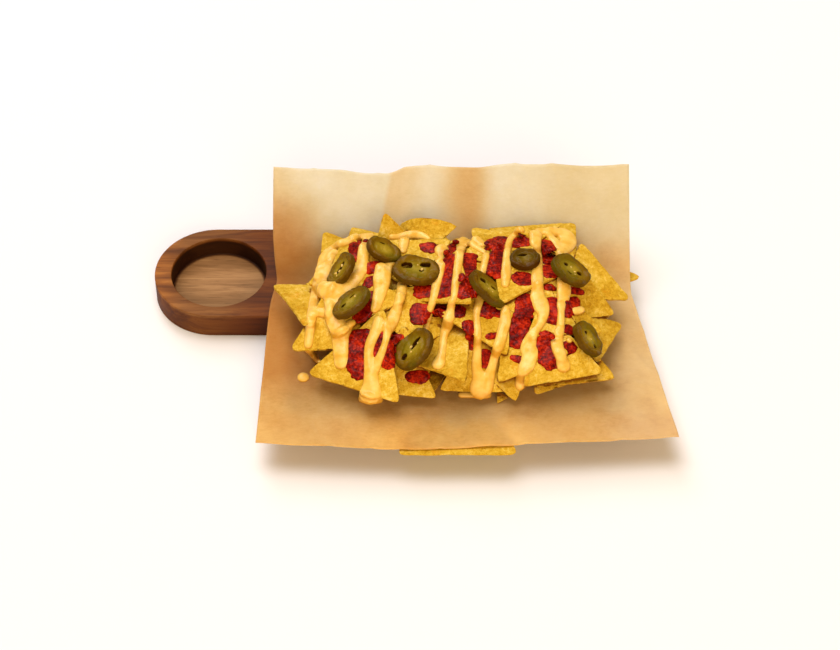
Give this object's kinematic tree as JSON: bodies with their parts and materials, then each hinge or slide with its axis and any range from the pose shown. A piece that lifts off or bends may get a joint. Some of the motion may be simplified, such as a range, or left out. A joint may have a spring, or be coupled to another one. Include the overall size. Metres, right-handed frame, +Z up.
{
  "type": "nachos on a serving board",
  "caption": "Heap of tortilla chips with cheese sauce, salsa and pickled pepper rings on brown paper, on a wooden serving board with a round dip recess.",
  "frame": {"origin": "on the board's underside, below the middle of the chip heap, where the board rests on the table", "axes": "+X along the board, away from the dip recess; +Y towards the raised back of the paper; +Z up"},
  "size_m": [0.3633, 0.2192, 0.0827],
  "materials": {
    "walnut_wood": "oiled",
    "kraft_paper": "matt",
    "tortilla_chip": "matt",
    "pickled_pepper": "wet",
    "cheese_sauce": "satin",
    "salsa": "wet"
  },
  "bodies": {
    "root": {"board": "walnut_wood", "paper": "kraft_paper", "chip_heap": "tortilla_chip", "pepper_ring_1": "pickled_pepper", "pepper_ring_2": "pickled_pepper", "pepper_ring_3": "pickled_pepper", "pepper_ring_4": "pickled_pepper", "pepper_ring_5": "pickled_pepper", "pepper_ring_6": "pickled_pepper", "pepper_ring_7": "pickled_pepper", "pepper_ring_8": "pickled_pepper", "pepper_ring_9": "pickled_pepper", "stray_chip_right": "tortilla_chip", "stray_chip_front": "tortilla_chip"}
  },
  "joints": []
}
